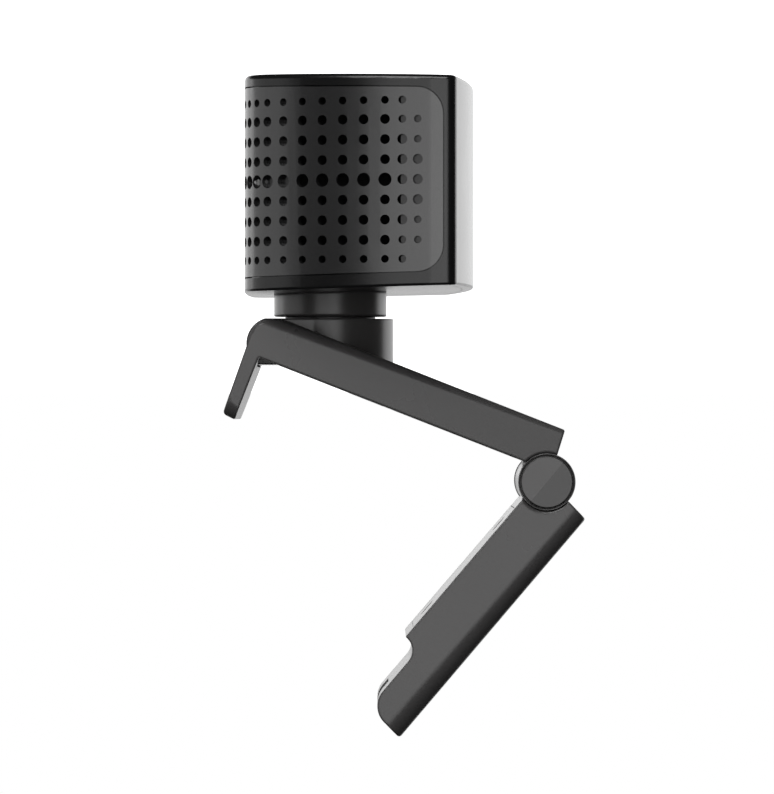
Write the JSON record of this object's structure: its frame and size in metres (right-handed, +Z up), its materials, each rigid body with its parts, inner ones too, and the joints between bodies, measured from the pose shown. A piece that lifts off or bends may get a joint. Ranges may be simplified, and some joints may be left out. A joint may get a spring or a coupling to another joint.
{
  "type": "webcam on a folding monitor clip",
  "caption": "Wide bar webcam with perforated wrap-round grille on a panning, tilting neck and a folding monitor clip with front hook and hinged lower leg.",
  "frame": {"origin": "mouth of the tripod thread in the underside of the pivot block, on the pan axis", "axes": "+Z up along the pan axis, -X the way the lens looks, +Y across the head; the plane Y = 0 is the middle"},
  "size_m": [0.071, 0.088, 0.1294],
  "materials": {
    "shell": "fine satin mould texture",
    "grille": "fine satin mould texture",
    "clip": "satin",
    "cap": "satin",
    "black_gloss": "gloss",
    "inner_plastic": "matt",
    "mesh": "woven",
    "glass": "coated",
    "lens_glass": "coated",
    "board": "solder resist",
    "chip": "matt",
    "steel": "brushed",
    "dark_steel": "blackened",
    "brass": "machined",
    "aluminium": "satin",
    "rubber": "matt",
    "cone_paper": "matt",
    "ribbon": "film",
    "light_pipe": "clear"
  },
  "bodies": {
    "pivot": {"pivot_block": "clip", "pivot_base_plate": "clip", "base_plate_screws": "dark_steel", "thread_insert": "brass", "swivel_glide_ring": "light_pipe"},
    "clip_arm": {"clip_arm": "clip", "arm_seat_pad": "rubber", "tilt_pin": "steel", "tilt_washers": "steel", "hinge_pin": "steel", "hinge_cap_left": "cap", "hinge_cap_right": "cap", "hinge_washers": "steel"},
    "clamp_leg": {"leg_shell": "clip", "leg_inner_cover": "clip", "leg_screws": "dark_steel"},
    "head": {"front_housing": "shell", "rear_cover": "shell", "wrap_grille": "grille", "acoustic_mesh_left": "mesh", "acoustic_mesh_right": "mesh", "lens_bezel": "black_gloss", "lens_window": "glass", "lens_barrel": "inner_plastic", "lens_front_element": "lens_glass", "lens_rear_element": "lens_glass", "lens_holder": "inner_plastic", "ir_filter": "lens_glass", "image_sensor": "chip", "sensor_board": "board", "sensor_board_screws": "steel", "main_board": "board", "main_board_screws": "steel", "ribbon_cable": "ribbon", "heat_spreader": "aluminium", "usb_inlet": "steel", "usb_tongue": "chip", "microphones": "steel", "status_led": "light_pipe", "status_light_pipe": "light_pipe", "speaker_frame_left": "inner_plastic", "speaker_frame_right": "inner_plastic", "speaker_magnet_left": "dark_steel", "speaker_magnet_right": "dark_steel", "speaker_cone_left": "cone_paper", "speaker_cone_right": "cone_paper", "neck_collar": "clip", "collar_screws": "steel", "swivel_retainer": "steel", "retainer_screws": "steel", "swivel_spring_washer": "steel"}
  },
  "joints": [
    {"name": "head_pan", "type": "hinge", "parent": "pivot", "child": "head", "pos_m": [0, 0, 0.0095], "axis": [0, 0, 1], "continuous": true},
    {"name": "clip_tilt", "type": "hinge", "parent": "pivot", "child": "clip_arm", "pos_m": [-0.0113, 0, 0.00415], "axis": [0, 1, 0], "range_deg": [-20.4, 58.6]},
    {"name": "clamp_fold", "type": "hinge", "parent": "clip_arm", "child": "clamp_leg", "pos_m": [0.0428, 0, -0.0232], "axis": [0, 1, 0], "range_deg": [-105, 70.9]}
  ]
}
